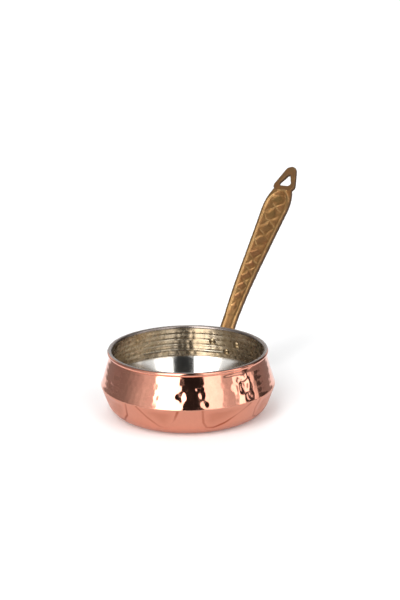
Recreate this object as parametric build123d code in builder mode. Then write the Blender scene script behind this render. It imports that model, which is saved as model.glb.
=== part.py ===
from build123d import *
from math import acos, asin, atan2, cos, degrees, radians, sin
import os

# Shallow hammered copper pan, tinned inside, with a long cast brass handle held by three
# rivets. Millimetres, +Z up. The origin is the centre of the flat underside, and the
# handle rises towards +X.

# Pan, raised from one sheet
sheet = 1.2
base_radius = 54
corner_radius = 18
shoulder_radius = 76.1
shoulder_height = 26.5
shoulder_bend = 2.0

# Rim, curled outwards over nothing, so it is hollow
curl_ring = 68.2
curl_height = 55.3
curl_hollow = 0.65
curl_stop = -75

# Tin wiped over the inside and over the top of the rim
tin = 0.25
tin_stop = 55

# Handle: a plate that lies on the wall, then a strip that bows outwards to the tip
plate_thickness = 2.5
blade_thickness = 3.6
root_slope = 48.5
tip_slope = 40.5
bow_radius = 394
crossing = Vector(79.8, 60)
straight_length = 123.7
lobe_radius = 5.8
lobe_blend = 2
bend_radius = 6

# Outline of the strip, as distance back from the tip and half width
neck_from_tip = 31
neck_half = 9.4
widest_from_tip = 53
widest_half = 13.1
root_from_tip = 172
root_half = 7
border = 2.6
recess_depth = 0.6

# Rivets
rivet_spread = 10
upper_rivet_height = 42.5
lower_rivet_height = 33
shank_radius = 2
inner_head_radius = 3.8
inner_head_height = 1.8
outer_head_radius = 3.4
outer_head_height = 1.3
head_sink = 0.3
shank_reach = 0.8

corner = Vector(base_radius, corner_radius)
shoulder = Vector(shoulder_radius - shoulder_bend, shoulder_height)
curl = Vector(curl_ring, curl_height)


def facing(start, end, reach):
    """Angle that the common tangent of two bends faces, in degrees."""
    run = end - start
    return degrees(atan2(run.Y, run.X) - acos(reach / run.length))


def heading(angle):
    """Unit vector at an angle in degrees."""
    return Vector(cos(radians(angle)), sin(radians(angle)))


def meet(first, first_angle, second, second_angle):
    """Point where two straight runs, each a point and an angle, would cross."""
    along = heading(first_angle)
    across = heading(second_angle)
    gap = second - first
    share = (gap.X * across.Y - gap.Y * across.X) / (along.X * across.Y - along.Y * across.X)
    return first + along * share


side_facing = facing(corner, shoulder, corner_radius - shoulder_bend)
wall_facing = facing(shoulder, curl, shoulder_bend + curl_hollow)
wall_foot = shoulder + heading(wall_facing) * shoulder_bend
wall_rise = wall_facing + 90


def skin(depth, stop):
    """Line of the sheet at one depth below its outside, from the middle to the rim."""
    side_start = corner + heading(side_facing) * (corner_radius - depth)
    side_end = shoulder + heading(side_facing) * (shoulder_bend - depth)
    wall_start = shoulder + heading(wall_facing) * (shoulder_bend - depth)
    wall_end = curl - heading(wall_facing) * (curl_hollow + depth)
    Line((0, depth), (base_radius, depth))
    CenterArc(corner, corner_radius - depth, -90, 90 + side_facing)
    Line(side_start, side_end)
    CenterArc(shoulder, shoulder_bend - depth, side_facing, wall_facing - side_facing)
    Line(wall_start, wall_end)
    CenterArc(curl, curl_hollow + depth, wall_facing + 180, stop - wall_facing - 180)
    return Vector(0, depth), curl + heading(stop) * (curl_hollow + depth)


def layer(outer_depth, inner_depth, stop):
    """Closed outline of the sheet between two depths."""
    outer_ends = skin(outer_depth, stop)
    inner_ends = skin(inner_depth, stop)
    for outer_end, inner_end in zip(outer_ends, inner_ends):
        Line(outer_end, inner_end)


with BuildPart() as pan_body:
    with BuildSketch(Plane.XZ):
        with BuildLine():
            layer(0, sheet, curl_stop)
        make_face()
    revolve(axis=Axis.Z)

with BuildPart() as tin_lining:
    with BuildSketch(Plane.XZ):
        with BuildLine():
            layer(sheet, sheet + tin, tin_stop)
        make_face()
    revolve(axis=Axis.Z)

# Riveting plate: three lobes of a cone that lies on the wall
plate_low = wall_foot + heading(wall_rise) * 0.3
plate_high = wall_foot + heading(wall_rise) * 23


def wall_radius(height):
    """Outside radius of the wall at one height."""
    return meet(wall_foot, wall_rise, Vector(0, height), 0).X


lobe_side = wall_radius(upper_rivet_height) * sin(radians(rivet_spread))

with BuildPart() as plate:
    with BuildSketch(Plane.YZ):
        with BuildLine():
            thickness = heading(wall_facing) * plate_thickness
            Polyline(
                plate_low,
                plate_high,
                plate_high + thickness,
                plate_low + thickness,
                close=True,
            )
        make_face()
    revolve(axis=Axis.Z)
    with BuildSketch(Plane.YZ) as lobes:
        with BuildLine():
            Polyline(
                (-lobe_side, upper_rivet_height),
                (0, lower_rivet_height),
                (lobe_side, upper_rivet_height),
                (root_half, plate_high.Y),
                (-root_half, plate_high.Y),
                close=True,
            )
        make_face()
        with Locations(
            (-lobe_side, upper_rivet_height),
            (lobe_side, upper_rivet_height),
            (0, lower_rivet_height),
        ):
            Circle(lobe_radius)
        fillet(lobes.vertices(), lobe_blend)
    extrude(amount=shoulder_radius * 2, mode=Mode.INTERSECT)

# The strip's middle line: an arc that flattens from the root slope to the tip slope
bow_centre = crossing + heading(root_slope - 90) * bow_radius


def bow(offset, slope):
    """Point on the bowed stretch, at one distance above its middle line."""
    return bow_centre + heading(slope + 90) * (bow_radius + offset)


def rail(offset, start, start_angle):
    """One long face of the strip, from the wall to the tip."""
    foot = meet(start, start_angle, bow(offset, root_slope), root_slope)
    far = bow(offset, tip_slope) + heading(tip_slope) * straight_length
    Line(start, foot)
    Line(foot, bow(offset, root_slope))
    CenterArc(bow_centre, bow_radius + offset, root_slope + 90, tip_slope - root_slope)
    Line(bow(offset, tip_slope), far)
    return start, far, foot


def strip(top, bottom, start, start_depth):
    """Closed side outline of the strip, and its two points at the bend."""
    low_start = start + heading(wall_facing) * start_depth
    upper_start, upper_far, upper_foot = rail(top, start, wall_rise)
    lower_start, lower_far, lower_foot = rail(bottom, low_start, wall_rise)
    Line(upper_start, lower_start)
    Line(upper_far, lower_far)
    return upper_foot, lower_foot


def bend_corners(sketch, feet):
    """Corners of the side outline where the strip turns off the wall."""
    return [sketch.vertices().sort_by_distance(foot)[0] for foot in feet]


tip = bow(0, tip_slope) + heading(tip_slope) * straight_length
face_plane = Plane(
    origin=(tip.X, 0, tip.Y),
    x_dir=(-cos(radians(tip_slope)), 0, -sin(radians(tip_slope))),
    z_dir=(-sin(radians(tip_slope)), 0, cos(radians(tip_slope))),
)
strip_start = wall_foot + heading(wall_rise) * 14
half_slab = 30


def blade_outline(inset):
    """Closed outline of the blade, drawn in from its edge by an inset."""
    neck = (neck_from_tip - 3 + 3 * inset, neck_half - inset)
    waist = (neck_from_tip + 9 + inset / 2, widest_half - 0.5 - inset)
    wide = (widest_from_tip, widest_half - inset)
    middle = ((widest_from_tip + root_from_tip) / 2, (widest_half + root_half) / 2 - 0.3 - inset)
    root = (root_from_tip, root_half - inset)
    foot = (root_from_tip + (50 if inset == 0 else 1), root_half - inset)
    ThreePointArc(neck, waist, wide)
    ThreePointArc(wide, middle, root)
    Line(root, foot)
    mirror(about=Plane.XZ)
    Line(foot, (foot[0], -foot[1]))
    Line(neck, (neck[0], -neck[1]))


# Hanging loop at the tip, a rounded triangle that leans a little to one side
with BuildSketch() as loop:
    with Locations((23.6, 6.3), (23.6, -6.3)):
        Circle(5)
    with Locations((6.3, 0.4)):
        Circle(6)
    make_hull()

with BuildSketch() as eye:
    with Locations((20.8, 2.8), (20.8, -2.8)):
        Circle(2.7)
    with Locations((11.4, 0.6)):
        Circle(1.2)
    make_hull()

with BuildPart() as blade:
    with BuildSketch(Plane.XZ) as side:
        with BuildLine():
            bend_feet = strip(blade_thickness / 2, -blade_thickness / 2, strip_start, plate_thickness)
        make_face()
        fillet(bend_corners(side, bend_feet), bend_radius)
    extrude(amount=half_slab, both=True)
    with BuildSketch(face_plane):
        with BuildLine():
            blade_outline(0)
        make_face()
        add(loop.sketch)
        add(eye.sketch, mode=Mode.SUBTRACT)
    extrude(amount=half_slab * 4, both=True, mode=Mode.INTERSECT)

# Recessed field along the front of the blade, inside a raised border
with BuildPart() as field:
    with BuildSketch(Plane.XZ):
        with BuildLine():
            strip(blade_thickness, blade_thickness / 2 - recess_depth, strip_start, plate_thickness)
        make_face()
    extrude(amount=half_slab, both=True)
    with BuildSketch(face_plane):
        with BuildLine():
            blade_outline(border)
        make_face()
    extrude(amount=half_slab * 4, both=True, mode=Mode.INTERSECT)

with BuildPart() as handle:
    add(plate.part)
    add(blade.part)
    add(field.part, mode=Mode.SUBTRACT)


def rivet_plane(azimuth, height):
    """Plane on the wall's outside at one rivet, with its normal along the shank."""
    direction = heading(azimuth)
    radius = wall_radius(height)
    lean = radians(wall_facing)
    return Plane(
        origin=(direction.X * radius, direction.Y * radius, height),
        x_dir=(-direction.Y, direction.X, 0),
        z_dir=(direction.X * cos(lean), direction.Y * cos(lean), sin(lean)),
    )


def dome(plane, base, radius, height):
    """Round head that bulges from its base along a plane's normal, or against it."""
    cap = (radius**2 + height**2) / (2 * abs(height))
    half_turn = asin(radius / cap) / 2
    way = 1 if height > 0 else -1
    middle = (cap * sin(half_turn), base + height - way * cap * (1 - cos(half_turn)))
    with BuildPart() as head:
        with BuildSketch(Plane.XZ):
            with BuildLine():
                Line((0, base), (radius, base))
                ThreePointArc((radius, base), middle, (0, base + height))
                Line((0, base + height), (0, base))
            make_face()
        revolve(axis=Axis.Z)
    return plane.location * head.part


seats = {
    "rivet_upper_left": rivet_plane(rivet_spread, upper_rivet_height),
    "rivet_upper_right": rivet_plane(-rivet_spread, upper_rivet_height),
    "rivet_lower": rivet_plane(0, lower_rivet_height),
}
unpierced = [pan_body.part, tin_lining.part, handle.part]
inner_seat = -(sheet + tin) + head_sink
outer_seat = plate_thickness - head_sink
rivets = []
for rivet_name, seat in seats.items():
    inner_head = dome(seat, inner_seat, inner_head_radius, -inner_head_height - head_sink)
    outer_head = dome(seat, outer_seat, outer_head_radius, outer_head_height + head_sink)
    with BuildPart() as rivet:
        add([inner_head, outer_head])
        add(unpierced, mode=Mode.SUBTRACT)
        with BuildSketch(seat.offset(inner_seat - shank_reach)):
            Circle(shank_radius)
        extrude(amount=outer_seat - inner_seat + 2 * shank_reach)
    rivet.part.label = rivet_name
    rivets.append(rivet.part)

pierced = {}
for piece_name, piece in {"pan_body": pan_body, "tin_lining": tin_lining, "handle": handle}.items():
    with BuildPart() as drilled:
        add(piece.part)
        for seat in seats.values():
            with BuildSketch(seat):
                Circle(shank_radius)
            extrude(amount=shoulder_bend * 3, both=True, mode=Mode.SUBTRACT)
    drilled.part.label = piece_name
    pierced[piece_name] = drilled.part

os.makedirs("parts", exist_ok=True)
for finished in [*pierced.values(), *rivets]:
    export_step(finished, f"parts/{finished.label}.step")
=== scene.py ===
import math
import random

import bpy
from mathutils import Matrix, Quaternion, Vector, kdtree, noise


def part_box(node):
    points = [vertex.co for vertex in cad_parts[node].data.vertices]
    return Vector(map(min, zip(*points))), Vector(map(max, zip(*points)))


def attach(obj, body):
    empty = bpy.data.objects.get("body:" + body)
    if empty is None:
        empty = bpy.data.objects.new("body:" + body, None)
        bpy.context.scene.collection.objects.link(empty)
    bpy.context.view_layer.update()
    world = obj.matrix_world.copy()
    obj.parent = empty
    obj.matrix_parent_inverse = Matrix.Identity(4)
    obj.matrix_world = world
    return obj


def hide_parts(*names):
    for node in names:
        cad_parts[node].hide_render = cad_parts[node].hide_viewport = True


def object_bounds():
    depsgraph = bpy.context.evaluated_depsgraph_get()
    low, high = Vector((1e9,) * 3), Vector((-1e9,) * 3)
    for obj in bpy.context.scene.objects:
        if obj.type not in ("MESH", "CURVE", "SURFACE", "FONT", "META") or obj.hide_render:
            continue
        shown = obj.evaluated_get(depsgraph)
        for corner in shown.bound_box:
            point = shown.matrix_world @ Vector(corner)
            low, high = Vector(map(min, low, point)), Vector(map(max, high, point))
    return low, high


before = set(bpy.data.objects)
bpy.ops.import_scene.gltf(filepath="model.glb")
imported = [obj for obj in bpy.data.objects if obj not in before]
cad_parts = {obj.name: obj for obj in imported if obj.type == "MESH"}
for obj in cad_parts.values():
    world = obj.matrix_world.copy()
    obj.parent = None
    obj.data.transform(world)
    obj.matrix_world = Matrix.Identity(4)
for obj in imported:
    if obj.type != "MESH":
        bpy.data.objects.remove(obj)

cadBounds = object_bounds()
mm = 0.001
handSeed = 11
noise.seed_set(handSeed)

# the whole thing stands with its handle along X, the eye sees it from the other side
shot = {
    "turn": 28.4,          # degrees from straight away to the handle, to the right
    "rise": 15.97,         # how far above the horizon the camera stands
    "distance": 1.4,
    "aimRight": 0.0111,
    "aimUp": 0.1007,
    "roll": 0.536,
    "lens": 97.3,
}
turn = math.radians(shot["turn"])
awayDir = Vector((math.cos(turn), math.sin(turn), 0))
rightDir = Vector((math.sin(turn), -math.cos(turn), 0))


def deselectAll():
    if bpy.context.object and bpy.context.object.mode != "OBJECT":
        bpy.ops.object.mode_set(mode="OBJECT")
    bpy.ops.object.select_all(action="DESELECT")


def pick(piece):
    deselectAll()
    piece.select_set(True)
    bpy.context.view_layer.objects.active = piece


def applyModifier(piece, kind, **settings):
    pick(piece)
    modifier = piece.modifiers.new(kind.title(), kind)
    for key, value in settings.items():
        setattr(modifier, key, value)
    bpy.ops.object.modifier_apply(modifier=modifier.name)


def settle(piece):
    pick(piece)
    bpy.ops.object.transform_apply(location=True, rotation=True, scale=True)


print("camera")
deselectAll()
rise = math.radians(shot["rise"])
lookDir = awayDir * math.cos(rise) - Vector((0, 0, math.sin(rise)))
aim = rightDir * shot["aimRight"] + Vector((0, 0, shot["aimUp"]))
bpy.ops.object.camera_add(location=aim - lookDir * shot["distance"])
camera = bpy.context.object
camera.name = "camera"
facing = lookDir.to_track_quat("-Z", "Y") @ Quaternion((0, 0, 1), -math.radians(shot["roll"]))
camera.rotation_euler = facing.to_euler()
camera.data.lens = shot["lens"]
camera.data.clip_end = 60
bpy.context.scene.camera = camera


# small helpers for node trees
def newMaterial(name):
    material = bpy.data.materials.new(name)
    material.use_nodes = True
    tree = material.node_tree
    return material, tree, tree.nodes["Principled BSDF"]


def addNode(tree, kind, place=(0, 0), inputs=None, **settings):
    node = tree.nodes.new(kind)
    node.location = place
    for key, value in settings.items():
        setattr(node, key, value)
    for key, value in (inputs or {}).items():
        if isinstance(value, bpy.types.NodeSocket):
            tree.links.new(value, node.inputs[key])
        else:
            node.inputs[key].default_value = value
    return node


def mixColours(tree, mask, low, high, place=(0, 0)):
    node = addNode(tree, "ShaderNodeMix", place, data_type="RGBA")
    for socket, value in ((node.inputs[0], mask), (node.inputs[6], low), (node.inputs[7], high)):
        if isinstance(value, bpy.types.NodeSocket):
            tree.links.new(value, socket)
        else:
            socket.default_value = value
    return node.outputs[2]


def mapRange(tree, value, low, high, toLow, toHigh, place=(0, 0), smooth=False):
    kind = "SMOOTHSTEP" if smooth else "LINEAR"
    node = addNode(tree, "ShaderNodeMapRange", place, interpolation_type=kind, inputs={
        "Value": value, "From Min": low, "From Max": high, "To Min": toLow, "To Max": toHigh})
    return node.outputs["Result"]


def maths(tree, operation, first, second=0.0, place=(0, 0)):
    node = addNode(tree, "ShaderNodeMath", place, operation=operation, inputs={0: first, 1: second})
    return node.outputs[0]


def newGroup(name, inputs, outputs):
    group = bpy.data.node_groups.new(name, "ShaderNodeTree")
    for label, kind, default in inputs:
        group.interface.new_socket(label, in_out="INPUT", socket_type=kind).default_value = default
    for label, kind in outputs:
        group.interface.new_socket(label, in_out="OUTPUT", socket_type=kind)
    start = group.nodes.new("NodeGroupInput")
    start.location = (-1000, 0)
    end = group.nodes.new("NodeGroupOutput")
    end.location = (800, 0)
    return group, start.outputs, end.inputs


def useGroup(tree, group, place=(0, 0), **values):
    node = tree.nodes.new("ShaderNodeGroup")
    node.node_tree = group
    node.location = place
    for key, value in values.items():
        if isinstance(value, bpy.types.NodeSocket):
            tree.links.new(value, node.inputs[key])
        else:
            node.inputs[key].default_value = value
    return node.outputs


print("shared effects")


def makeSmudgeGroup():
    # cloudy handling marks: one mask for the tone and one for the gloss
    group, given, out = newGroup("handlingSmudges",
                                 [("Scale", "NodeSocketFloat", 60.0), ("Contrast", "NodeSocketFloat", 0.5)],
                                 [("Tone", "NodeSocketFloat"), ("Gloss", "NodeSocketFloat")])
    place = addNode(group, "ShaderNodeTexCoord", (-1000, -300)).outputs["Object"]
    broad = addNode(group, "ShaderNodeTexNoise", (-700, 100), inputs={
        "Vector": place, "Scale": given["Scale"], "Detail": 5.0, "Roughness": 0.6, "Distortion": 0.6})
    fineScale = maths(group, "MULTIPLY", given["Scale"], 5.3, (-700, -250))
    fine = addNode(group, "ShaderNodeTexNoise", (-500, -200), inputs={
        "Vector": place, "Scale": fineScale, "Detail": 6.0, "Roughness": 0.65})
    low = maths(group, "MULTIPLY", given["Contrast"], -0.35, (-500, 350))
    low = maths(group, "ADD", low, 0.5, (-350, 350))
    high = maths(group, "SUBTRACT", 1.0, low, (-200, 350))
    group.links.new(mapRange(group, broad.outputs["Fac"], low, high, 0.0, 1.0, (0, 100)), out["Tone"])
    blend = maths(group, "MULTIPLY", broad.outputs["Fac"], fine.outputs["Fac"], (-100, -200))
    group.links.new(mapRange(group, blend, 0.12, 0.42, 0.0, 1.0, (200, -200)), out["Gloss"])
    return group


def makeScratchGroup():
    # fine hairlines left by wiping, in two directions
    group, given, out = newGroup("wipedHairlines",
                                 [("Scale", "NodeSocketFloat", 1.0), ("Amount", "NodeSocketFloat", 0.5)],
                                 [("Mask", "NodeSocketFloat")])
    place = addNode(group, "ShaderNodeTexCoord", (-1000, -300)).outputs["Object"]
    found = None
    for index, (tilt, stretch) in enumerate((((0.2, 0.1, 0.5), (1800, 60, 60)),
                                             ((0.1, 0.7, -0.3), (70, 70, 2400)))):
        spread = addNode(group, "ShaderNodeMapping", (-800, -300 * index), inputs={
            "Vector": place, "Rotation": tilt, "Scale": stretch})
        lines = addNode(group, "ShaderNodeTexNoise", (-550, -300 * index), inputs={
            "Vector": spread.outputs[0], "Scale": given["Scale"], "Detail": 3.0, "Roughness": 0.5})
        line = mapRange(group, lines.outputs["Fac"], 0.62, 0.74, 0.0, 1.0, (-300, -300 * index))
        found = line if found is None else maths(group, "MAXIMUM", found, line, (-50, 0))
    group.links.new(maths(group, "MULTIPLY", found, given["Amount"], (300, 0)), out["Mask"])
    return group


def makeGrainGroup():
    # cast or beaten grain as a height, from coarse lumps down to pin marks
    group, given, out = newGroup("metalGrain",
                                 [("Scale", "NodeSocketFloat", 400.0), ("Pits", "NodeSocketFloat", 0.4)],
                                 [("Height", "NodeSocketFloat")])
    place = addNode(group, "ShaderNodeTexCoord", (-1000, -300)).outputs["Object"]
    lumps = addNode(group, "ShaderNodeTexNoise", (-700, 150), inputs={
        "Vector": place, "Scale": given["Scale"], "Detail": 7.0, "Roughness": 0.6})
    pitScale = maths(group, "MULTIPLY", given["Scale"], 1.7, (-850, -150))
    cells = addNode(group, "ShaderNodeTexVoronoi", (-700, -200), inputs={
        "Vector": place, "Scale": pitScale, "Randomness": 1.0})
    pits = mapRange(group, cells.outputs["Distance"], 0.05, 0.22, 1.0, 0.0, (-450, -200))
    gate = mapRange(group, lumps.outputs["Fac"], 0.5, 0.62, 0.0, 1.0, (-450, 0))
    pits = maths(group, "MULTIPLY", pits, gate, (-250, -150))
    pits = maths(group, "MULTIPLY", pits, given["Pits"], (-50, -150))
    group.links.new(maths(group, "SUBTRACT", lumps.outputs["Fac"], pits, (200, 100)), out["Height"])
    return group


smudges = makeSmudgeGroup()
hairlines = makeScratchGroup()
grain = makeGrainGroup()


# the pan, turned from its side line
panShape = {
    "sheet": 1.2 * mm,
    "baseRadius": 54 * mm,
    "cornerRadius": 18 * mm,
    "shoulderRadius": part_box("pan_body")[1].x,
    "shoulderHeight": 26.5 * mm,
    "shoulderBend": 2.0 * mm,
    "curlRing": 68.2 * mm,
    "curlHeight": 55.3 * mm,
    "curlHollow": 0.65 * mm,
    "curlStop": -75,
    "tin": 0.25 * mm,
    "tinStop": 55,
    "turns": 432,
    "fineStep": 0.75 * mm,
    "hiddenStep": 6 * mm,
}


def heading(angle):
    return Vector((math.cos(math.radians(angle)), 0, math.sin(math.radians(angle))))


corner = Vector((panShape["baseRadius"], 0, panShape["cornerRadius"]))
shoulder = Vector((panShape["shoulderRadius"] - panShape["shoulderBend"], 0, panShape["shoulderHeight"]))
curl = Vector((panShape["curlRing"], 0, panShape["curlHeight"]))


def facingAngle(start, end, reach):
    run = end - start
    return math.degrees(math.atan2(run.z, run.x) - math.acos(reach / run.length))


sideFacing = facingAngle(corner, shoulder, panShape["cornerRadius"] - panShape["shoulderBend"])
wallFacing = facingAngle(shoulder, curl, panShape["shoulderBend"] + panShape["curlHollow"])


def runPoints(start, end, step):
    count = max(1, round((end - start).length / step))
    return [start.lerp(end, i / count) for i in range(count)]


def arcPoints(centre, radius, start, end, step):
    count = max(3, round(abs(math.radians(end - start)) * radius / step))
    return [centre + heading(start + (end - start) * i / count) * radius for i in range(count)]


def skinLine(depth, stop, step, curlStep):
    # one face of the sheet, at a depth below its outside, from the middle to the rim
    hollow = panShape["curlHollow"] + depth
    rim = panShape["shoulderBend"] - depth
    base = panShape["cornerRadius"] - depth
    points = runPoints(Vector((0, 0, depth)), Vector((panShape["baseRadius"], 0, depth)), step * 1.6)
    points += arcPoints(corner, base, -90, sideFacing, step)
    points += runPoints(corner + heading(sideFacing) * base, shoulder + heading(sideFacing) * rim, step)
    points += arcPoints(shoulder, rim, sideFacing, wallFacing, min(step, 0.25 * mm))
    points += runPoints(shoulder + heading(wallFacing) * rim, curl - heading(wallFacing) * hollow, step)
    points += arcPoints(curl, hollow, wallFacing + 180, stop, curlStep)
    return points + [curl + heading(stop) * hollow]


def turnOnAxis(name, points):
    deselectAll()
    bpy.ops.mesh.primitive_plane_add(size=mm, location=points[0])
    piece = bpy.context.object
    piece.name = name
    bpy.ops.object.mode_set(mode="EDIT")
    bpy.ops.mesh.select_all(action="SELECT")
    bpy.ops.mesh.merge(type="CENTER")
    for start, end in zip(points, points[1:]):
        bpy.ops.mesh.extrude_region_move(TRANSFORM_OT_translate={"value": end - start})
    bpy.ops.object.mode_set(mode="OBJECT")
    settle(piece)
    applyModifier(piece, "SCREW", axis="Z", angle=math.tau, steps=panShape["turns"],
                  render_steps=panShape["turns"], use_merge_vertices=True, merge_threshold=0.01 * mm)
    bpy.ops.object.mode_set(mode="EDIT")
    bpy.ops.mesh.select_all(action="SELECT")
    bpy.ops.mesh.remove_doubles(threshold=0.01 * mm)
    bpy.ops.mesh.normals_make_consistent(inside=False)
    bpy.ops.object.mode_set(mode="OBJECT")
    bpy.ops.object.shade_smooth_by_angle(angle=math.radians(50))
    return piece


def markTree(marks):
    tree = kdtree.KDTree(len(marks))
    for index, mark in enumerate(marks):
        tree.insert(mark, index)
    tree.balance()
    return tree


def unrolled(point, radius):
    return Vector((math.atan2(point.y, point.x) * radius, point.z, 0))


def hammerRows(rows, pitch, radius, jitter, seed):
    # centres of hammer blows in rows round the pan, laid out flat, with a spare turn at each end
    chance = random.Random(seed)
    marks = []
    for height in rows:
        count = round(math.tau * radius / pitch)
        shift = chance.random()
        for index in range(count):
            along = ((index + shift) / count - 0.5) * math.tau * radius + chance.uniform(-jitter, jitter)
            place = Vector((along, height + chance.uniform(-jitter, jitter) * 0.5, 0))
            marks += [place + Vector((spare * math.tau * radius, 0, 0)) for spare in (-1, 0, 1)]
    return markTree(marks)


def blow(tree, point, size):
    # 1 in the middle of a hammer mark, falling to 0 at its edge
    return max(0.0, 1 - (tree.find(point)[2] / size) ** 2)


def sculpt(piece, name, weightAt, depth, keep=False):
    # paints a weight on every point and pushes the surface by it along its normals
    points = piece.data.vertices
    weights = [min(1.0, max(0.0, weightAt(point.co, point.normal))) for point in points]
    group = piece.vertex_groups.new(name=name)
    for point, weight in zip(points, weights):
        if weight > 0.001:
            group.add((point.index,), weight, "REPLACE")
    applyModifier(piece, "DISPLACE", strength=depth, mid_level=0.0, vertex_group=name)
    piece.vertex_groups.remove(piece.vertex_groups[name])
    if keep:
        layer = piece.data.attributes.new(name, "FLOAT", "POINT")
        layer.data.foreach_set("value", weights)


def fade(value, low, high):
    share = min(1.0, max(0.0, (value - low) / (high - low)))
    return share * share * (3 - 2 * share)


print("copper body")
copperShell = {
    "rowPitch": 5.0 * mm, "markPitch": 5.4 * mm, "jitter": 0.7 * mm, "markSize": 3.6 * mm,
    "markDepth": 0.1 * mm, "waveDepth": 0.26 * mm, "knockDepth": 0.85 * mm, "knockWarp": 3.4 * mm,
    "neckFlare": 0.8 * mm, "neckStart": 49.5 * mm, "neckEnd": 53.8 * mm, "neckStop": 53.4 * mm,
    # radius at which the wall is laid out flat, and where its hammering starts and stops
    "wallRadius": 72 * mm, "wallFoot": 27 * mm, "hammerTop": 51 * mm, "wallTop": 53 * mm,
    "hollowFoot": 4 * mm, "hollowSoft": 21 * mm, "hollowTop": 25.5 * mm, "creaseFoot": 3 * mm,
    "creaseDepth": 0.3 * mm, "creaseWidth": 1.15 * mm, "facetDepth": 0.6 * mm, "facetReach": 9 * mm,
    # knocks in the wall: degrees to the right of the front, height, size, share of the depth
    "knocks": [(30, 49, 6.5, 0.5), (38, 48, 8.5, 1.0), (41, 40, 8.5, 1.0), (35, 41, 6.0, 0.5),
               (44, 32, 6.0, 0.6),
               (-4.5, 38.5, 4.4, 0.6), (8, 43.5, 2.8, 0.35), (9.5, 38, 3.2, 0.4), (11, 31, 4.2, 0.6),
               (-21, 35, 4.5, 0.14), (19, 40, 3.5, 0.14), (-58, 46, 5.0, 0.4), (-63, 36, 4.5, 0.4),
               (96, 40, 6.0, 0.6), (140, 46, 5.0, 0.7), (171, 36, 6.0, 0.5), (-150, 44, 5.5, 0.6),
               (-112, 35, 5.0, 0.7)],
    # hollows of the lower side, each an outline of creases: degrees to the right of the front, height
    "hollows": [[(-35, 26), (-28, 17), (-20, 9.5), (-15.5, 8.2), (-12, 11), (-9, 17), (-6.4, 25.5)],
                [(9.4, 26), (10.5, 14), (13, 8.6), (18, 8), (26, 11.5), (36, 18.5), (45, 25.5)],
                [(54, 25.5), (51.5, 18), (52, 10), (60, 6), (72, 12), (77, 25.5)],
                [(-80, 25.5), (-74, 14), (-62, 7), (-52, 7), (-46, 14), (-44, 25.5)]],
    "hollowTurns": (0, 170),
}
tucked = panShape["hiddenStep"]
outerLine = skinLine(0, panShape["curlStop"], panShape["fineStep"], 0.16 * mm)
innerLine = skinLine(panShape["sheet"], panShape["curlStop"], tucked, 0.3 * mm)
copperBody = turnOnAxis("copper_body", outerLine + innerLine[::-1])
frontAngle = math.atan2(-awayDir.y, -awayDir.x)


def spotOnWall(degrees, height):
    # a place given in degrees to the right of the front, as flat coordinates on the wall
    angle = frontAngle + math.radians(degrees)
    return Vector((math.cos(angle), math.sin(angle), 0)), height * mm


def isOutside(point, normal):
    radial = Vector((point.x, point.y, 0))
    if point.z < panShape["cornerRadius"]:
        return normal.z < 0.05 or normal.dot(radial) > 0
    return normal.dot(radial) > 0


wallRows = [panShape["shoulderHeight"] + copperShell["rowPitch"] * (0.55 + row) for row in range(6)]
wallMarks = hammerRows(wallRows, copperShell["markPitch"], copperShell["wallRadius"],
                       copperShell["jitter"], handSeed)


def wallHammer(point, normal):
    if not isOutside(point, normal):
        return 0
    foot = fade(point.z, copperShell["wallFoot"], copperShell["wallFoot"] + 1.5 * mm)
    inBand = foot * (1 - fade(point.z, copperShell["hammerTop"], copperShell["wallTop"]))
    if not inBand:
        return 0
    return inBand * blow(wallMarks, unrolled(point, copperShell["wallRadius"]), copperShell["markSize"])


def wallWaves(point, normal):
    if not isOutside(point, normal):
        return 0
    foot = fade(point.z, copperShell["wallFoot"], copperShell["wallFoot"] + 4 * mm)
    inBand = foot * (1 - fade(point.z, copperShell["wallTop"] - 4 * mm, copperShell["wallTop"]))
    return inBand * (0.5 + 0.5 * noise.noise(point * 75)) if inBand else 0


def wallKnocks(point, normal):
    if not isOutside(point, normal) or not copperShell["wallFoot"] < point.z < copperShell["wallTop"]:
        return 0
    found = 0
    warp = noise.noise_vector(point * 95) * copperShell["knockWarp"]
    for degrees, height, size, share in copperShell["knocks"]:
        way, rise = spotOnWall(degrees, height)
        across = (Vector((point.x, point.y, 0)).normalized() - way).length * copperShell["wallRadius"]
        reach = math.hypot(across + warp.x, point.z - rise + warp.z) / (size * mm)
        if reach < 1:
            found = max(found, share * (1 - reach * reach) ** 2)
    foot = fade(point.z, copperShell["wallFoot"], copperShell["wallFoot"] + 2 * mm)
    return found * foot * (1 - fade(point.z, copperShell["wallTop"] - 3 * mm, copperShell["wallTop"]))


def neckFlare(point, normal):
    # the wall turns outwards a little just under the curl
    if not isOutside(point, normal) or point.z > copperShell["neckStop"]:
        return 0
    if math.hypot(point.x, point.y) > panShape["curlRing"] - 0.2 * mm:
        return 0
    return fade(point.z, copperShell["neckStart"], copperShell["neckEnd"])


def creasePoints():
    creaseParts = 24
    spots = []
    for turnBy in copperShell["hollowTurns"]:
        for line in copperShell["hollows"]:
            for (startAngle, startHeight), (endAngle, endHeight) in zip(line, line[1:]):
                for part in range(creaseParts):
                    share = part / creaseParts
                    way, rise = spotOnWall(startAngle + (endAngle - startAngle) * share + turnBy,
                                           startHeight + (endHeight - startHeight) * share)
                    spots.append(way * copperShell["wallRadius"] + Vector((0, 0, rise)))
    return markTree(spots)


creaseTree = creasePoints()


def creaseGap(point):
    onWall = Vector((point.x, point.y, 0)).normalized() * copperShell["wallRadius"]
    return creaseTree.find(onWall + Vector((0, 0, point.z)))[2]


def creaseLines(point, normal):
    if not copperShell["creaseFoot"] <= point.z <= copperShell["wallFoot"] or not isOutside(point, normal):
        return 0
    reach = creaseGap(point) / copperShell["creaseWidth"]
    return math.exp(-reach * reach) * (0.62 + 0.7 * noise.noise(point * 45))


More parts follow.
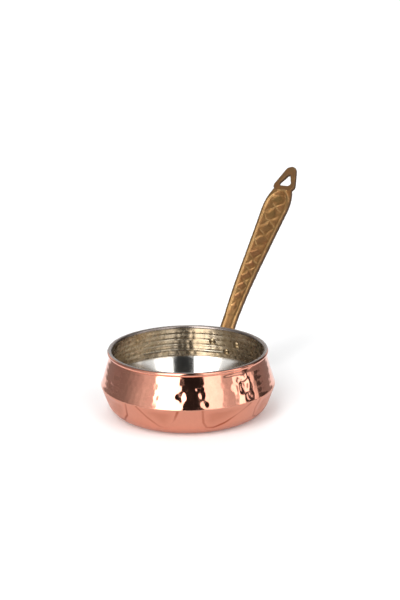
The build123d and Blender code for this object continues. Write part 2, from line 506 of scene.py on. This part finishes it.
def lowestPoint(line, degrees):
    # height of a hollow's outline at one bearing, or nothing beyond its ends
    for (startAngle, startHeight), (endAngle, endHeight) in zip(line, line[1:]):
        if startAngle <= degrees < endAngle:
            share = (degrees - startAngle) / (endAngle - startAngle)
            return startHeight + (endHeight - startHeight) * share
    return None


def hollowBeds(point, normal):
    # the beaten flats inside the creases
    if not copperShell["hollowFoot"] <= point.z <= copperShell["hollowTop"] or not isOutside(point, normal):
        return 0
    bearing = math.degrees(math.atan2(point.y, point.x) - frontAngle)
    for turnBy in copperShell["hollowTurns"]:
        around = (bearing - turnBy + 180) % 360 - 180
        for line in copperShell["hollows"]:
            lowest = lowestPoint(line, around)
            if lowest is not None and point.z > lowest * mm:
                upper = 1 - fade(point.z, copperShell["hollowSoft"], copperShell["hollowTop"])
                return upper * fade(creaseGap(point), 0, copperShell["facetReach"])
    return 0


sculpt(copperBody, "hammer", wallHammer, -copperShell["markDepth"])
sculpt(copperBody, "waves", wallWaves, -copperShell["waveDepth"])
sculpt(copperBody, "knocks", wallKnocks, -copperShell["knockDepth"])
sculpt(copperBody, "neck", neckFlare, copperShell["neckFlare"])
sculpt(copperBody, "hollow", hollowBeds, -copperShell["facetDepth"], keep=True)
sculpt(copperBody, "creaseAndShade", creaseLines, -copperShell["creaseDepth"], keep=True)


print("tin lining")
tinShell = {
    "rowPitch": 5.3 * mm, "markPitch": 6.8 * mm, "jitter": 0.8 * mm, "markSize": 4.2 * mm,
    "markDepth": 0.24 * mm, "ringRise": 0.6 * mm, "rowStart": 27 * mm, "rows": 5,
    "wallRadius": 70 * mm, "softFoot": 26 * mm, "foot": 28.5 * mm, "softTop": 51 * mm, "top": 54 * mm,
}
backLine = skinLine(panShape["sheet"], panShape["tinStop"], tucked, 0.3 * mm)
tinDepth = panShape["sheet"] + panShape["tin"]
frontLine = skinLine(tinDepth, panShape["tinStop"], panShape["fineStep"], 0.16 * mm)
tinLining = turnOnAxis("tin_skin", frontLine + backLine[::-1])
innerRows = [tinShell["rowStart"] + tinShell["rowPitch"] * (row + 0.5) for row in range(tinShell["rows"])]
innerMarks = hammerRows(innerRows, tinShell["markPitch"], tinShell["wallRadius"], tinShell["jitter"],
                        handSeed + 1)


def onInnerWall(point, normal):
    if isOutside(point, normal):
        return 0
    below = fade(point.z, tinShell["softFoot"], tinShell["foot"])
    return below * (1 - fade(point.z, tinShell["softTop"], tinShell["top"]))


def innerHammer(point, normal):
    inBand = onInnerWall(point, normal)
    if not inBand:
        return 0
    return inBand * blow(innerMarks, unrolled(point, tinShell["wallRadius"]), tinShell["markSize"])


def innerRings(point, normal):
    # ridges left between the rows, all round
    inBand = onInnerWall(point, normal)
    if not inBand:
        return 0
    wander = noise.noise(Vector((point.x, point.y, 0)) * 26) * 0.5
    across = ((point.z - tinShell["rowStart"]) / tinShell["rowPitch"] + wander) % 1
    uneven = 0.6 + 0.5 * noise.noise(point * 60)
    return inBand * (2 * across - 1) ** 2 * uneven


sculpt(tinLining, "hammer", innerHammer, -tinShell["markDepth"])
sculpt(tinLining, "rings", innerRings, tinShell["ringRise"], keep=True)


print("brass handle")
handleShape = {
    "voxel": 0.42 * mm, "soften": 4,
    "rootSlope": 48.5, "tipSlope": 40.5, "bowRadius": 394 * mm,
    "crossing": Vector((79.8 * mm, 0, 60 * mm)), "straight": 123.7 * mm,
    "widest": 53 * mm, "root": 172 * mm, "neckRun": 25 * mm,
    "widestHalf": 13.1 * mm, "rootHalf": 7 * mm, "neckHalf": 9.4 * mm, "waist": 1.28 * mm,
    "border": 2.6 * mm, "archTop": 29.6 * mm, "archFoot": 43 * mm,
    "firstCrossing": 48.6 * mm, "lozenge": 17.4 * mm, "shrink": 0.93, "lozenges": 9,
    "ridgeWidth": 1.25 * mm, "ridgeHeight": 0.42 * mm, "edgeRidge": 2.5 * mm, "edgeWidth": 1.5 * mm,
    "bedDepth": 0.35 * mm, "wobble": 2.2 * mm, "shadedEdgeBand": 2.5 * mm, "loopEnd": 29 * mm,
    # the lattice starts and ends this far back from the tip, and the face stops at this height
    "latticeStart": 32 * mm, "latticeEnd": 168 * mm, "faceFoot": 56 * mm,
    "latticeFade": 5 * mm, "handwork": 0.12 * mm, "loopSoften": 16,
}


def castCopy(nodeName, name, voxel, soften):
    deselectAll()
    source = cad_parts[nodeName]
    piece = source.copy()
    piece.data = source.data.copy()
    for key in list(piece.keys()):
        del piece[key]
    piece.parent = None
    piece.name = name
    bpy.context.scene.collection.objects.link(piece)
    piece.data.materials.clear()
    pick(piece)
    bpy.ops.object.mode_set(mode="EDIT")
    bpy.ops.mesh.select_all(action="SELECT")
    bpy.ops.mesh.remove_doubles(threshold=0.001 * mm)
    bpy.ops.object.mode_set(mode="OBJECT")
    if "custom_normal" in piece.data.attributes:
        bpy.ops.mesh.customdata_custom_splitnormals_clear()
    applyModifier(piece, "REMESH", mode="VOXEL", voxel_size=voxel, use_smooth_shade=True)
    applyModifier(piece, "SMOOTH", factor=0.5, iterations=soften)
    return piece


handle = castCopy("handle", "cast_handle", handleShape["voxel"], handleShape["soften"])
bowCentre = handleShape["crossing"] + heading(handleShape["rootSlope"] - 90) * handleShape["bowRadius"]
bowEnd = bowCentre + heading(handleShape["tipSlope"] + 90) * handleShape["bowRadius"]
tipWay = heading(handleShape["tipSlope"])


def alongHandle(point):
    # distance back from the tip, following the bow
    ahead = (Vector((point.x, 0, point.z)) - bowEnd).dot(tipWay)
    if ahead > 0:
        return handleShape["straight"] - ahead
    arm = Vector((point.x, 0, point.z)) - bowCentre
    slope = math.degrees(math.atan2(arm.z, arm.x)) - 90
    return handleShape["straight"] + math.radians(slope - handleShape["tipSlope"]) * handleShape["bowRadius"]


def halfWidth(back):
    if back < handleShape["widest"]:
        share = (handleShape["widest"] - back) / handleShape["neckRun"]
        taper = handleShape["widestHalf"] - handleShape["neckHalf"]
        return handleShape["widestHalf"] - taper * share ** 2.4
    share = min(1.0, (back - handleShape["widest"]) / (handleShape["root"] - handleShape["widest"]))
    narrowed = handleShape["widestHalf"] - (handleShape["widestHalf"] - handleShape["rootHalf"]) * share
    return narrowed - handleShape["waist"] * share * (1 - share)


crossings = [handleShape["firstCrossing"] - handleShape["lozenge"] / handleShape["shrink"]]
step = handleShape["lozenge"] / handleShape["shrink"]
for index in range(handleShape["lozenges"] + 1):
    crossings.append(crossings[-1] + step)
    step *= handleShape["shrink"]


def borderHalf(back):
    # half width of the border ridge, which closes in an arch at the loop's end
    half = halfWidth(back) - handleShape["edgeRidge"]
    rise = (handleShape["archFoot"] - back) / (handleShape["archFoot"] - handleShape["archTop"])
    return half * math.sqrt(max(0.0, 1 - max(0.0, rise) ** 2))


def lozengeAt(back):
    # share of the way through the lozenge at this distance, its length and its half width
    for start, end in zip(crossings, crossings[1:]):
        if start <= back < end:
            half = max(0.0, halfWidth(back) - handleShape["border"])
            return (back - start) / (end - start), end - start, half
    return None


def lozengeRidge(back, side):
    found = lozengeAt(back)
    if not found:
        return 0
    share, length, half = found
    rise = 1 - abs(2 * share - 1)
    gap = abs(half * rise - abs(side)) / math.hypot(1, 2 * half / length)
    return math.exp(-(gap / handleShape["ridgeWidth"]) ** 2)


def onFace(point, normal):
    front = -normal.x * tipWay.z + normal.z * tipWay.x
    return fade(front, 0.45, 0.7) if point.z > handleShape["faceFoot"] else 0


def faceRelief(point, normal):
    # the raised border with its arch, and the ridges of the lozenges
    face = onFace(point, normal)
    back = alongHandle(point)
    if not face or back < handleShape["archTop"] - 1.5 * mm:
        return 0
    edgeGap = abs(abs(point.y) - borderHalf(back))
    archGap = abs(back - handleShape["archTop"])
    if abs(point.y) < 5 * mm:
        edgeGap = min(edgeGap, archGap + point.y * point.y * 12)
    edge = math.exp(-(edgeGap / handleShape["edgeWidth"]) ** 2)
    stray = noise.noise_vector(point * 150) * handleShape["wobble"]
    ridge = lozengeRidge(back + stray.x, point.y + stray.y) * (0.62 + 0.75 * noise.noise(point * 110))
    ridge *= fade(back, handleShape["latticeStart"] + 1 * mm, handleShape["latticeStart"] + 4 * mm)
    ridge *= 1 - fade(back, handleShape["latticeEnd"] - handleShape["latticeFade"], handleShape["latticeEnd"])
    return face * max(edge, ridge) * (0.85 + 0.4 * noise.noise(point * 160))


def lozengeBeds(point, normal):
    # the sunk middles of the lozenges
    face = onFace(point, normal)
    back = alongHandle(point)
    if not face or not handleShape["latticeStart"] < back < handleShape["latticeEnd"]:
        return 0
    found = lozengeAt(back)
    if not found or not found[2]:
        return 0
    share, length, half = found
    stray = noise.noise(point * 170) * 0.5
    return face * fade(1 - abs(2 * share - 1) - abs(point.y) / half + stray, 0.05, 0.6)


def darkParts(point, normal):
    # the sides, the back and the loop keep more of the dark patina; a band along the face's edges is darkened
    # too, as painted shade
    front = -normal.x * tipWay.z + normal.z * tipWay.x
    back = alongHandle(point)
    if back < handleShape["loopEnd"]:
        return 1 - 0.6 * fade(front, 0.93, 1.0) * (0.75 + 0.9 * noise.noise(point * 130))
    if point.z < handleShape["faceFoot"]:
        return 0.3
    half = halfWidth(back)
    # painted shade: the face darkens in a band along its edges
    return max(1 - fade(front, 0.2, 0.9), 0.85 * fade(abs(point.y), half - handleShape["shadedEdgeBand"], half))


def handwork(point, normal):
    return 0.5 + 0.5 * noise.noise(point * 190)


pick(handle)
roundLoop = handle.vertex_groups.new(name="loop")
loopStop = handleShape["loopEnd"] - 1 * mm
loopSpots = [point.index for point in handle.data.vertices if alongHandle(point.co) < loopStop]
roundLoop.add(loopSpots, 1.0, "REPLACE")
applyModifier(handle, "SMOOTH", factor=0.5, iterations=handleShape["loopSoften"], vertex_group="loop")
handle.vertex_groups.remove(handle.vertex_groups["loop"])
sculpt(handle, "relief", faceRelief, handleShape["ridgeHeight"], keep=True)
sculpt(handle, "bed", lozengeBeds, -handleShape["bedDepth"], keep=True)
sculpt(handle, "handwork", handwork, -handleShape["handwork"])
sculpt(handle, "patina", darkParts, -0.01 * mm, keep=True)

print("rivets")
rivetShape = {"voxel": 0.22 * mm, "soften": 3, "peenDepth": 0.16 * mm}


def peening(point, normal):
    return 0.5 + 0.5 * noise.noise(point * 420)


rivets = []
for nodeName in ("rivet_upper_left", "rivet_upper_right", "rivet_lower"):
    rivet = castCopy(nodeName, nodeName.replace("rivet", "peened"), rivetShape["voxel"], rivetShape["soften"])
    sculpt(rivet, "peening", peening, -rivetShape["peenDepth"])
    rivets.append(rivet)


print("metals")
# side, hollow and crease are darker coppers standing for painted shade on the downward-facing lower side, in
# its hollows and in its creases
copperLook = {
    "bright": (0.86, 0.40, 0.28, 1), "rosy": (0.76, 0.32, 0.23, 1), "creaseAndShade": (0.30, 0.07, 0.03, 1),
    "stain": (0.50, 0.22, 0.15, 1), "side": (0.63, 0.275, 0.19, 1), "hollow": (0.53, 0.215, 0.14, 1),
    "wallGloss": 0.06, "sideGloss": 0.34,
}
tinLook = {
    "floor": (0.82, 0.80, 0.76, 1), "rim": (0.27, 0.23, 0.21, 1), "bright": (0.50, 0.44, 0.36, 1),
    "dull": (0.38, 0.31, 0.21, 1), "stain": (0.28, 0.17, 0.065, 1), "ridge": (0.72, 0.66, 0.55, 1),
}
brassLook = {
    "worn": (0.66, 0.40, 0.17, 1), "body": (0.42, 0.22, 0.07, 1), "dark": (0.085, 0.05, 0.028, 1),
    "green": (0.21, 0.17, 0.07, 1), "bedHigh": (0.22, 0.145, 0.05, 1), "bedLow": (0.25, 0.11, 0.05, 1),
    "red": (0.42, 0.13, 0.055, 1),
}


def makeCopper():
    material, tree, shader = newMaterial("hammeredCopper")
    place = addNode(tree, "ShaderNodeTexCoord", (-1400, 0)).outputs["Object"]
    height = addNode(tree, "ShaderNodeSeparateXYZ", (-1200, 0), inputs={0: place}).outputs["Z"]
    creaseAndShade = addNode(tree, "ShaderNodeAttribute", (-1200, -400), attribute_name="creaseAndShade").outputs["Fac"]
    cloudy = useGroup(tree, smudges, (-1200, 300), Scale=55.0, Contrast=0.7)
    speckle = useGroup(tree, smudges, (-1200, 500), Scale=240.0, Contrast=0.9)
    lines = useGroup(tree, hairlines, (-1200, -600), Scale=1.0, Amount=0.6)
    beaten = useGroup(tree, grain, (-1200, -800), Scale=900.0, Pits=0.5)
    onSide = mapRange(tree, height, 26.2 * mm, 27.6 * mm, 1.0, 0.0, (-950, 0), smooth=True)
    hollow = addNode(tree, "ShaderNodeAttribute", (-1200, -250), attribute_name="hollow").outputs["Fac"]
    # painted shade: the beaten hollows take a still darker copper
    side = mixColours(tree, hollow, copperLook["side"], copperLook["hollow"], (-900, 150))
    colour = mixColours(tree, cloudy["Tone"], copperLook["bright"], copperLook["rosy"], (-900, 300))
    # painted shade: below the shoulder the lower side takes the darker side copper
    colour = mixColours(tree, onSide, colour, side, (-700, 300))
    stainMask = maths(tree, "MULTIPLY", speckle["Gloss"], 0.35, (-900, 450))
    colour = mixColours(tree, stainMask, colour, copperLook["stain"], (-500, 350))
    # painted shade: the crease grooves are darkened in colour
    creaseShadeMask = mapRange(tree, creaseAndShade, 0.15, 0.8, 0.0, 0.9, (-700, -400))
    colour = mixColours(tree, creaseShadeMask, colour, copperLook["creaseAndShade"], (-300, 300))
    tree.links.new(colour, shader.inputs["Base Color"])
    wallRough = mapRange(tree, cloudy["Gloss"], 0.0, 1.0, copperLook["wallGloss"], 0.14, (-700, 0))
    lineRough = maths(tree, "MULTIPLY", lines["Mask"], 0.08, (-700, -100))
    wallRough = maths(tree, "ADD", wallRough, lineRough, (-500, 0))
    sideRough = mapRange(tree, cloudy["Gloss"], 0.0, 1.0, copperLook["sideGloss"], 0.46, (-700, -200))
    rough = addNode(tree, "ShaderNodeMix", (-300, 0), data_type="FLOAT")
    tree.links.new(onSide, rough.inputs[0])
    tree.links.new(wallRough, rough.inputs[2])
    tree.links.new(sideRough, rough.inputs[3])
    tree.links.new(rough.outputs[0], shader.inputs["Roughness"])
    shader.inputs["Metallic"].default_value = 1.0
    bump = addNode(tree, "ShaderNodeBump", (-300, -500), inputs={
        "Strength": 0.12, "Distance": 0.00006, "Height": beaten["Height"]})
    scratch = addNode(tree, "ShaderNodeBump", (-100, -500), inputs={
        "Strength": 0.1, "Distance": 0.00002, "Height": lines["Mask"], "Normal": bump.outputs[0]})
    tree.links.new(scratch.outputs[0], shader.inputs["Normal"])
    return material


def makeTin():
    material, tree, shader = newMaterial("wipedTin")
    place = addNode(tree, "ShaderNodeTexCoord", (-1400, 0)).outputs["Object"]
    height = addNode(tree, "ShaderNodeSeparateXYZ", (-1200, 0), inputs={0: place}).outputs["Z"]
    cloudy = useGroup(tree, smudges, (-1200, 300), Scale=45.0, Contrast=0.8)
    stains = useGroup(tree, smudges, (-1200, 500), Scale=85.0, Contrast=0.95)
    lines = useGroup(tree, hairlines, (-1200, -600), Scale=0.9, Amount=0.7)
    beaten = useGroup(tree, grain, (-1200, -800), Scale=700.0, Pits=0.5)
    onWall = mapRange(tree, height, 24 * mm, 27 * mm, 0.0, 1.0, (-950, 0), smooth=True)
    onRim = mapRange(tree, height, 54.5 * mm, 56 * mm, 0.0, 1.0, (-950, -200), smooth=True)
    wall = mixColours(tree, cloudy["Tone"], tinLook["bright"], tinLook["dull"], (-900, 300))
    stained = maths(tree, "MULTIPLY", stains["Tone"], 0.6, (-900, 500))
    wall = mixColours(tree, stained, wall, tinLook["stain"], (-700, 350))
    rings = addNode(tree, "ShaderNodeAttribute", (-1200, -400), attribute_name="rings").outputs["Fac"]
    ridges = mapRange(tree, rings, 0.25, 0.8, 0.0, 0.75, (-950, -400), smooth=True)
    wall = mixColours(tree, ridges, wall, tinLook["ridge"], (-600, 500))
    colour = mixColours(tree, onWall, tinLook["floor"], wall, (-500, 350))
    colour = mixColours(tree, onRim, colour, tinLook["rim"], (-300, 350))
    tree.links.new(colour, shader.inputs["Base Color"])
    wallRough = mapRange(tree, cloudy["Gloss"], 0.0, 1.0, 0.18, 0.36, (-700, 0))
    floorRough = mapRange(tree, cloudy["Gloss"], 0.0, 1.0, 0.1, 0.17, (-700, -150))
    rough = addNode(tree, "ShaderNodeMix", (-500, 0), data_type="FLOAT")
    tree.links.new(onWall, rough.inputs[0])
    tree.links.new(floorRough, rough.inputs[2])
    tree.links.new(wallRough, rough.inputs[3])
    tree.links.new(rough.outputs[0], shader.inputs["Roughness"])
    shader.inputs["Metallic"].default_value = 1.0
    bump = addNode(tree, "ShaderNodeBump", (-300, -500), inputs={
        "Strength": maths(tree, "MULTIPLY", onWall, 0.3, (-500, -500)), "Distance": 0.0001,
        "Height": beaten["Height"]})
    scratch = addNode(tree, "ShaderNodeBump", (-100, -500), inputs={
        "Strength": 0.1, "Distance": 0.00002, "Height": lines["Mask"], "Normal": bump.outputs[0]})
    tree.links.new(scratch.outputs[0], shader.inputs["Normal"])
    return material


def makeBrass():
    material, tree, shader = newMaterial("agedBrass")
    relief = addNode(tree, "ShaderNodeAttribute", (-1200, -200), attribute_name="relief").outputs["Fac"]
    cloudy = useGroup(tree, smudges, (-1200, 300), Scale=70.0, Contrast=0.8)
    fineSpots = useGroup(tree, smudges, (-1200, 500), Scale=260.0, Contrast=0.9)
    cast = useGroup(tree, grain, (-1200, -700), Scale=650.0, Pits=1.0)
    lines = useGroup(tree, hairlines, (-1200, -500), Scale=1.0, Amount=0.6)
    bed = addNode(tree, "ShaderNodeAttribute", (-1200, -350), attribute_name="bed").outputs["Fac"]
    patina = addNode(tree, "ShaderNodeAttribute", (-1200, -50), attribute_name="patina").outputs["Fac"]
    patches = useGroup(tree, smudges, (-1200, 700), Scale=120.0, Contrast=0.95)
    colour = mixColours(tree, cloudy["Tone"], brassLook["body"], brassLook["green"], (-1100, 300))
    reddish = maths(tree, "MULTIPLY", patches["Tone"], 0.6, (-1000, 500))
    colour = mixColours(tree, reddish, colour, brassLook["red"], (-1000, 300))
    place = addNode(tree, "ShaderNodeTexCoord", (-1600, 0)).outputs["Object"]
    height = addNode(tree, "ShaderNodeSeparateXYZ", (-1400, 0), inputs={0: place}).outputs["Z"]
    upThere = mapRange(tree, height, 110 * mm, 155 * mm, 0.0, 1.0, (-1200, 100), smooth=True)
    bedWear = mapRange(tree, patches["Gloss"], 0.0, 1.0, 0.35, 0.95, (-1200, 900))
    bedTone = mixColours(tree, upThere, brassLook["bedLow"], brassLook["bedHigh"], (-1000, 700))
    bedMask = maths(tree, "MULTIPLY", bed, bedWear, (-1000, 100))
    colour = mixColours(tree, bedMask, colour, bedTone, (-900, 300))
    worn = mapRange(tree, relief, 0.25, 0.75, 0.0, 0.9, (-900, -150), smooth=True)
    patchyWear = mapRange(tree, fineSpots["Tone"], 0.0, 1.0, 0.55, 1.0, (-900, 0))
    worn = maths(tree, "MULTIPLY", worn, patchyWear, (-700, 0))
    # lighter towards the root, in cloudy patches
    atRoot = mapRange(tree, height, 62 * mm, 92 * mm, 0.4, 0.0, (-900, -450), smooth=True)
    lighterNearRoot = maths(tree, "MULTIPLY", atRoot, cloudy["Tone"], (-700, -300))
    bright = maths(tree, "MAXIMUM", worn, lighterNearRoot, (-600, -100))
    colour = mixColours(tree, bright, colour, brassLook["worn"], (-500, 300))
    spots = maths(tree, "MULTIPLY", fineSpots["Gloss"], 0.5, (-700, 500))
    colour = mixColours(tree, spots, colour, brassLook["dark"], (-400, 300))
    # dark patina on the loop, sides and back, with painted shade along the face's edges
    darkened = maths(tree, "MULTIPLY", patina, 0.9, (-400, 100))
    colour = mixColours(tree, darkened, colour, brassLook["dark"], (-200, 300))
    tree.links.new(colour, shader.inputs["Base Color"])
    rough = mapRange(tree, cloudy["Gloss"], 0.0, 1.0, 0.34, 0.58, (-700, -50))
    rough = maths(tree, "SUBTRACT", rough, maths(tree, "MULTIPLY", worn, 0.08, (-500, -150)), (-300, 0))
    tree.links.new(rough, shader.inputs["Roughness"])
    tree.links.new(mapRange(tree, patina, 0.35, 1.0, 1.0, 0.35, (-300, -250)), shader.inputs["Metallic"])
    shader.inputs["Specular Tint"].default_value = (0.4, 0.32, 0.22, 1)
    bump = addNode(tree, "ShaderNodeBump", (-300, -500), inputs={
        "Strength": 0.5, "Distance": 0.0002, "Height": cast["Height"]})
    scratch = addNode(tree, "ShaderNodeBump", (-100, -500), inputs={
        "Strength": 0.2, "Distance": 0.00004, "Height": lines["Mask"], "Normal": bump.outputs[0]})
    tree.links.new(scratch.outputs[0], shader.inputs["Normal"])
    return material


def makeRivetMetal():
    material, tree, shader = newMaterial("tinnedRivet")
    place = addNode(tree, "ShaderNodeTexCoord", (-1600, 0)).outputs["Object"]
    parts = addNode(tree, "ShaderNodeSeparateXYZ", (-1400, 0), inputs={0: place}).outputs
    acrossX = maths(tree, "MULTIPLY", parts["X"], parts["X"], (-1200, 0))
    acrossY = maths(tree, "MULTIPLY", parts["Y"], parts["Y"], (-1200, -150))
    radius = maths(tree, "SQRT", maths(tree, "ADD", acrossX, acrossY, (-1000, 0)), 0.0, (-850, 0))
    lean = maths(tree, "MULTIPLY", parts["Z"], math.tan(math.radians(wallFacing)), (-1000, -200))
    depth = maths(tree, "ADD", radius, lean, (-700, -100))
    wallDepth = curl.x + curl.z * math.tan(math.radians(wallFacing))
    outside = mapRange(tree, depth, wallDepth - 1.5 * mm, wallDepth + 1.0 * mm, 0.0, 1.0, (-500, -100),
                       smooth=True)
    cloudy = useGroup(tree, smudges, (-1200, 300), Scale=200.0, Contrast=0.8)
    beaten = useGroup(tree, grain, (-1200, -700), Scale=1200.0, Pits=0.8)
    tinned = mixColours(tree, cloudy["Tone"], tinLook["dull"], tinLook["stain"], (-900, 300))
    bare = mixColours(tree, cloudy["Tone"], copperLook["rosy"], copperLook["stain"], (-900, 500))
    tree.links.new(mixColours(tree, outside, tinned, bare, (-300, 300)), shader.inputs["Base Color"])
    rough = mapRange(tree, cloudy["Gloss"], 0.0, 1.0, 0.24, 0.45, (-500, 100))
    tree.links.new(rough, shader.inputs["Roughness"])
    shader.inputs["Metallic"].default_value = 1.0
    bump = addNode(tree, "ShaderNodeBump", (-300, -500), inputs={
        "Strength": 0.3, "Distance": 0.0001, "Height": beaten["Height"]})
    tree.links.new(bump.outputs[0], shader.inputs["Normal"])
    return material


def finishPiece(piece, material, slotName, *nodes):
    piece.data.materials.clear()
    piece.data.materials.append(material)
    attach(piece, "root")
    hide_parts(*nodes)


finishPiece(copperBody, makeCopper(), "copper", "pan_body")
finishPiece(tinLining, makeTin(), "tin", "tin_lining")
finishPiece(handle, makeBrass(), "aged_brass", "handle")
rivetMetal = makeRivetMetal()
for rivet in rivets:
    finishPiece(rivet, rivetMetal, "rivet_copper", rivet.name.replace("peened", "rivet"))


print("studio")
studio = {
    "floorSize": 16.0, "floorTone": (0.93, 0.935, 0.94, 1), "floorClouds": (0.95, 0.95, 0.95, 1),
    "floorGlow": 0.07, "seenWhite": 1.0,
    # what shines back from the metal sees the pale sheet end near the pan, and a dim room beyond it
    "sheetEdge": 0.25, "roomTone": (0.16, 0.15, 0.15, 1),
    "bandTop": 86,         # height in degrees up to which the upright panels reach
    "topLight": 1.15,
    # upright light and dark panels round the object: degrees to the right of the camera, brightness
    "panels": [(-180, 1.0), (-136, 0.95), (-124, 0.26), (-92, 0.3), (-78, 0.5), (-60, 0.9),
               (-45, 1.0), (-43, 5.0), (-11, 5.0), (-9, 0.02), (21, 0.02), (23, 2.4), (46, 2.2), (49, 0.95),
               (64, 0.75), (68, 0.7), (70, 2.6), (80, 2.4), (82, 0.05), (94, 0.05), (96, 1.7), (102, 1.0),
               (106, 0.08), (140, 0.08), (150, 0.9), (180, 1.0)],
    "panelScale": 5.0,
}
deselectAll()
bpy.ops.mesh.primitive_plane_add(size=studio["floorSize"], location=(0, 0, cadBounds[0][2]))
floor = bpy.context.object
floor.name = "floor"
floorMaterial, floorTree, floorShader = newMaterial("paleFloor")
floorCloud = addNode(floorTree, "ShaderNodeTexNoise", (-600, 0), inputs={"Scale": 3.0, "Detail": 3.0})
floorTone = mixColours(floorTree, floorCloud.outputs["Fac"], studio["floorTone"], studio["floorClouds"],
                       (-300, 0))
floorPlace = addNode(floorTree, "ShaderNodeTexCoord", (-1400, -300)).outputs["Object"]
floorReach = addNode(floorTree, "ShaderNodeVectorMath", (-1200, -300), operation="LENGTH",
                     inputs={0: floorPlace}).outputs["Value"]
beyondSheet = mapRange(floorTree, floorReach, studio["sheetEdge"], studio["sheetEdge"] * 1.2,
                       0.0, 1.0, (-1000, -300), smooth=True)
mirrored = addNode(floorTree, "ShaderNodeLightPath", (-1000, -500)).outputs["Is Glossy Ray"]
darkRoom = maths(floorTree, "MULTIPLY", beyondSheet, mirrored, (-700, -300))
floorTone = mixColours(floorTree, darkRoom, floorTone, studio["roomTone"], (0, 0))
floorTree.links.new(floorTone, floorShader.inputs["Base Color"])
floorShader.inputs["Roughness"].default_value = 0.85
floorShader.inputs["Emission Color"].default_value = (1, 1, 1, 1)
floorShader.inputs["Emission Strength"].default_value = studio["floorGlow"]
floor.data.materials.append(floorMaterial)

world = bpy.data.worlds.new("studio")
bpy.context.scene.world = world
world.use_nodes = True
sky = world.node_tree
sky.nodes.clear()
way = addNode(sky, "ShaderNodeTexCoord", (-1400, 0)).outputs["Generated"]
turnedRight = addNode(sky, "ShaderNodeVectorMath", (-1200, 100), operation="DOT_PRODUCT",
                      inputs={0: way, 1: tuple(rightDir)}).outputs["Value"]
towards = addNode(sky, "ShaderNodeVectorMath", (-1200, -100), operation="DOT_PRODUCT",
                  inputs={0: way, 1: tuple(-awayDir)}).outputs["Value"]
bearing = maths(sky, "ARCTAN2", turnedRight, towards, (-1000, 0))
share = mapRange(sky, bearing, -math.pi, math.pi, 0.0, 1.0, (-800, 0))
ramp = addNode(sky, "ShaderNodeValToRGB", (-600, 0), inputs={0: share})
stops = ramp.color_ramp.elements
for index, (degrees, brightness) in enumerate(studio["panels"]):
    place = (degrees + 180) / 360
    stop = stops[index] if index < 2 else stops.new(place)
    stop.position = place
    tone = brightness / studio["panelScale"]
    stop.color = (tone, tone, tone, 1)
panelLight = maths(sky, "MULTIPLY", ramp.outputs["Color"], studio["panelScale"], (-300, 0))
upward = addNode(sky, "ShaderNodeSeparateXYZ", (-1200, -350), inputs={0: way}).outputs["Z"]
bandTop = math.sin(math.radians(studio["bandTop"]))
overhead = mapRange(sky, upward, bandTop - 0.03, bandTop + 0.03, 0.0, 1.0, (-600, -350), smooth=True)
light = addNode(sky, "ShaderNodeMix", (-100, 0), data_type="FLOAT")
sky.links.new(overhead, light.inputs[0])
sky.links.new(panelLight, light.inputs[2])
light.inputs[3].default_value = studio["topLight"]
seen = addNode(sky, "ShaderNodeLightPath", (-300, 350)).outputs["Is Camera Ray"]
shown = addNode(sky, "ShaderNodeMix", (100, 100), data_type="FLOAT")
sky.links.new(seen, shown.inputs[0])
sky.links.new(light.outputs[0], shown.inputs[2])
shown.inputs[3].default_value = studio["seenWhite"]
background = addNode(sky, "ShaderNodeBackground", (300, 100), inputs={
    "Color": (1, 1, 1, 1), "Strength": shown.outputs[0]})
skyOut = addNode(sky, "ShaderNodeOutputWorld", (500, 100))
sky.links.new(background.outputs[0], skyOut.inputs[0])
bpy.context.scene.view_settings.view_transform = "Standard"
